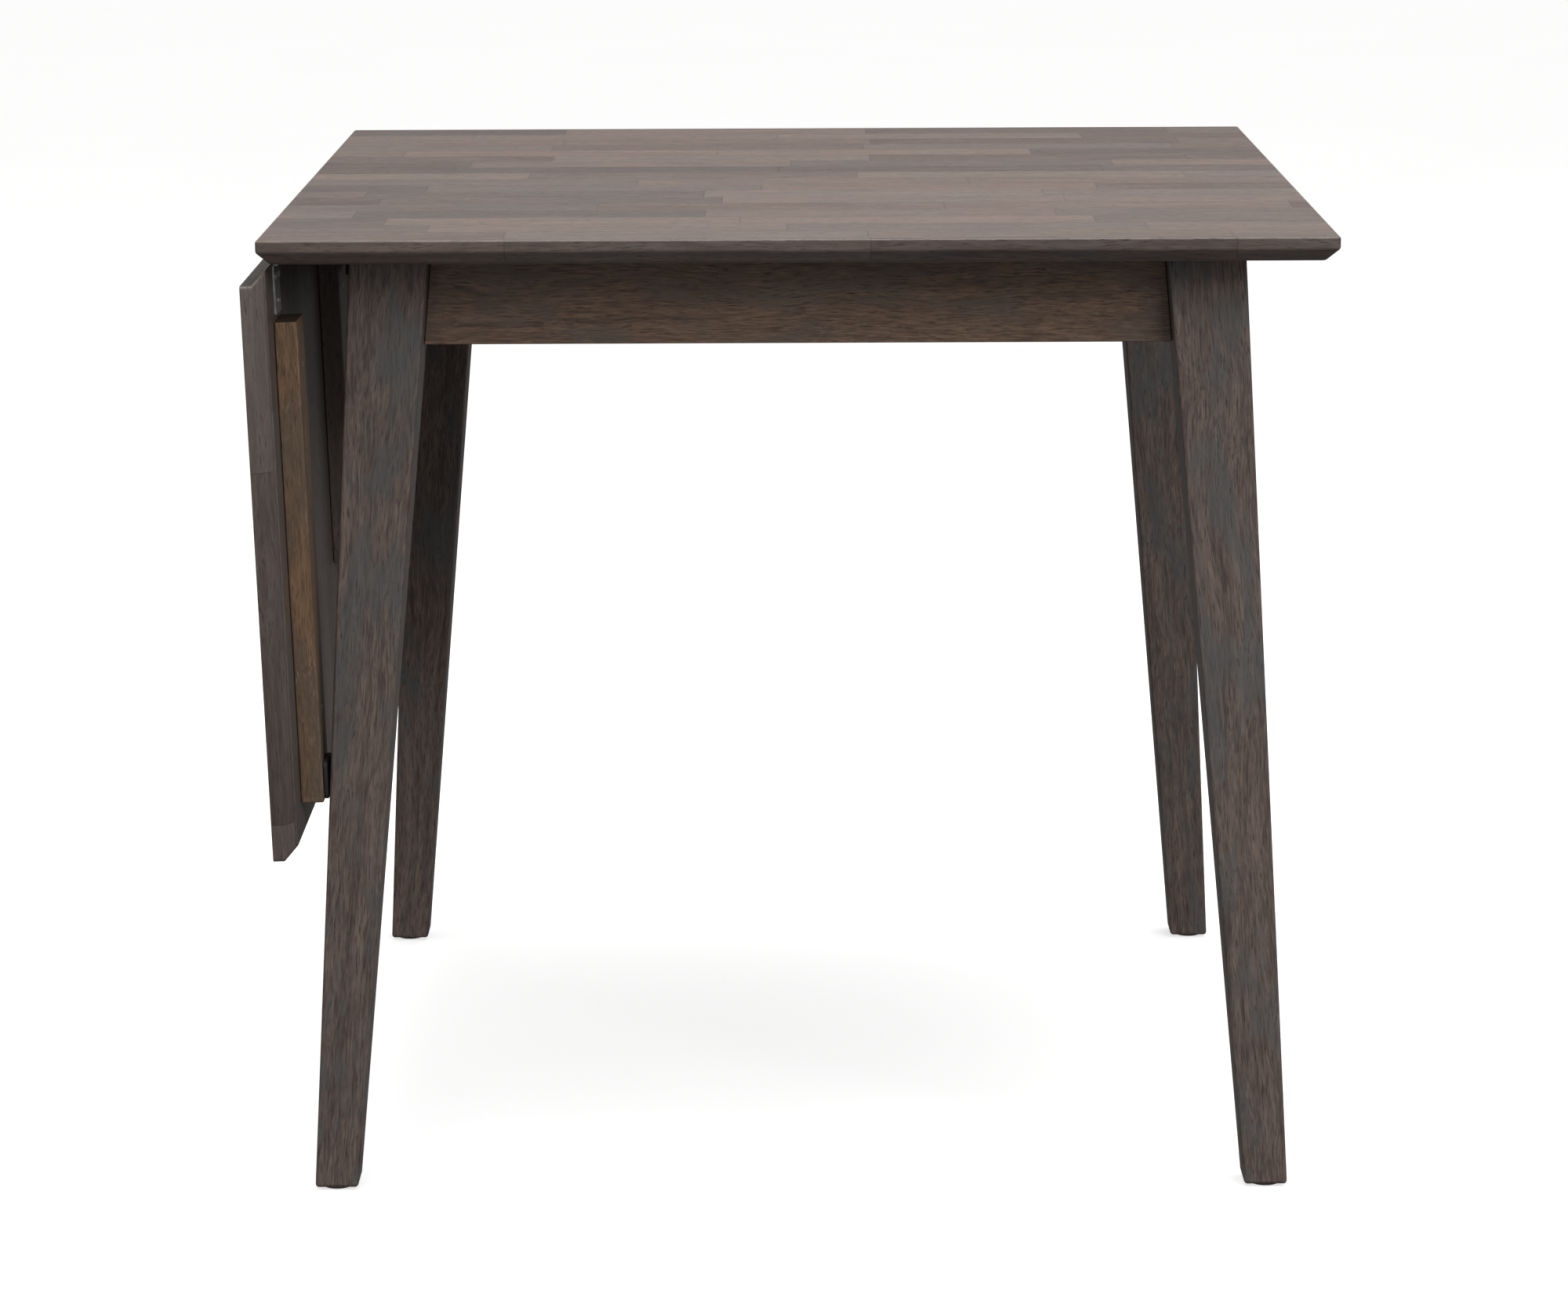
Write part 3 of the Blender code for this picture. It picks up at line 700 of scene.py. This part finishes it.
def hexagon_socket(bm, head, dome):
    """A six-sided socket for a key."""
    flat = head * 0.42
    turns = (0, math.pi / 3, math.tau / 3)

    def inside(place):
        return all(abs(place.x * math.cos(turn) + place.y * math.sin(turn)) < flat for turn in turns)

    sink(bm, [(turn, flat) for turn in turns], inside, dome, dome * 0.9)


def add_fastener(node, inwards, body, slot, steel, sizes, recess, matrix=None):
    """Stands for a CAD fastener that was driven inwards. recess presses the driver's recess."""
    head, dome, shank = sizes
    place, length = crowned(node, inwards, matrix)
    bm = fastener(head, dome, shank, length)
    recess(bm, head, dome)
    aim = Vector((0, 0, -1)).rotation_difference(inwards).to_matrix().to_4x4()
    bmesh.ops.transform(bm, matrix=Matrix.Translation(place) @ aim, verts=bm.verts)
    if matrix:
        bmesh.ops.transform(bm, matrix=matrix.inverted(), verts=bm.verts)
    add_piece("driven_" + node, bm, steel, body, slot, node)


UP = Vector((0, 0, 1))
dull_steel = plated_steel("dull_zinc_plated_steel", "#777672", "#96958F", 0.36)
HINGE_SCREW = (0.0030, 0.0013, 0.0015)
BATTEN_SCREW = (0.0038, 0.0020, 0.0018)
FRAME_SCREW = (0.0040, 0.0020, 0.0020)
LEG_BOLT = (0.0075, 0.0035, 0.0030)
for end in ("front", "rear"):
    for number in (1, 2, 3):
        node = f"hinge_{end}_top_screw_{number}"
        add_fastener(node, UP, "frame", "hinge_steel", zinc_steel, HINGE_SCREW, cross_recess)
        node = f"hinge_{end}_leaf_screw_{number}"
        add_fastener(node, UP, "leaf", "hinge_steel", zinc_steel, HINGE_SCREW, cross_recess, to_raised)
for batten in ("front", "centre", "rear"):
    for number in (1, 2):
        node = f"leaf_batten_{batten}_screw_{number}"
        add_fastener(node, UP, "leaf", "hinge_steel", zinc_steel, BATTEN_SCREW, cross_recess, to_raised)
for corner, side_x, side_y in CORNERS:
    add_fastener("top_screw_" + corner, UP, "frame", "bolt_steel", dull_steel, FRAME_SCREW, cross_recess)
    into_leg = Vector((side_x, side_y, 0)).normalized()
    node = "leg_bolt_" + corner
    add_fastener(node, into_leg, "frame", "bolt_steel", dull_steel, LEG_BOLT, hexagon_socket)

# ---------------------------------------------------------------------------------------------
# Stop peg and foot pads: a turned dowel through the bar, rounded at its end, and a disc of brown
# wool felt glued under each foot to save the floor. The felt is matt and faintly hairy.

low, high = (Vector(c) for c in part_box("bar_stop_peg"))
radius, length = (high.x - low.x) / 2, high.z - low.z
peg = [(0, 0), (radius * 0.7, 0.0004), (radius * 0.95, 0.0015), (radius, 0.003)]
bm = turned(peg + [(radius, length), (0, length)], 32)
bmesh.ops.translate(bm, verts=bm.verts, vec=((low.x + high.x) / 2, (low.y + high.y) / 2, low.z))
peg_wood = oak("dowel_oak", (0, 0, 1), BATTEN_TONES, roughness=0.6)
add_piece("dowel_stop_peg", bm, peg_wood, "frame", "batten_wood", "bar_stop_peg")

FELT_HAIR_MM = 1.2
felt = bpy.data.materials.new("brown_wool_felt")
felt.use_nodes = True
tree = felt.node_tree
shader = tree.nodes["Principled BSDF"]
places = put(tree, "TexCoord").outputs["Object"]
hair = {"Vector": places, "Scale": 1000 / FELT_HAIR_MM, "Detail": 4.0}
hair = put(tree, "TexNoise", hair).outputs["Fac"]
wool = {0: hair, 6: linear("#3A2F28"), 7: linear("#665548")}
wool = put(tree, "Mix", wool, data_type="RGBA").outputs[2]
tree.links.new(wool, shader.inputs["Base Color"])
bump = put(tree, "Bump", {"Height": hair, "Strength": 0.6, "Distance": 0.0004})
tree.links.new(bump.outputs[0], shader.inputs["Normal"])
shader.inputs["Roughness"].default_value = 0.95
shader.inputs["Sheen Weight"].default_value = 0.3
for corner, side_x, side_y in CORNERS:
    low, high = (Vector(c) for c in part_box("foot_pad_" + corner))
    radius, thick = (high.x - low.x) / 2, high.z - low.z
    disc = [(0, 0), (radius - 0.0004, 0), (radius, 0.0005)]
    disc += [(radius, thick - 0.0005), (radius - 0.0004, thick), (0, thick)]
    bm = turned(disc, 40)
    bmesh.ops.translate(bm, verts=bm.verts, vec=((low.x + high.x) / 2, (low.y + high.y) / 2, low.z))
    add_piece("felt_pad_" + corner, bm, felt, "frame", "foot_felt", "foot_pad_" + corner)
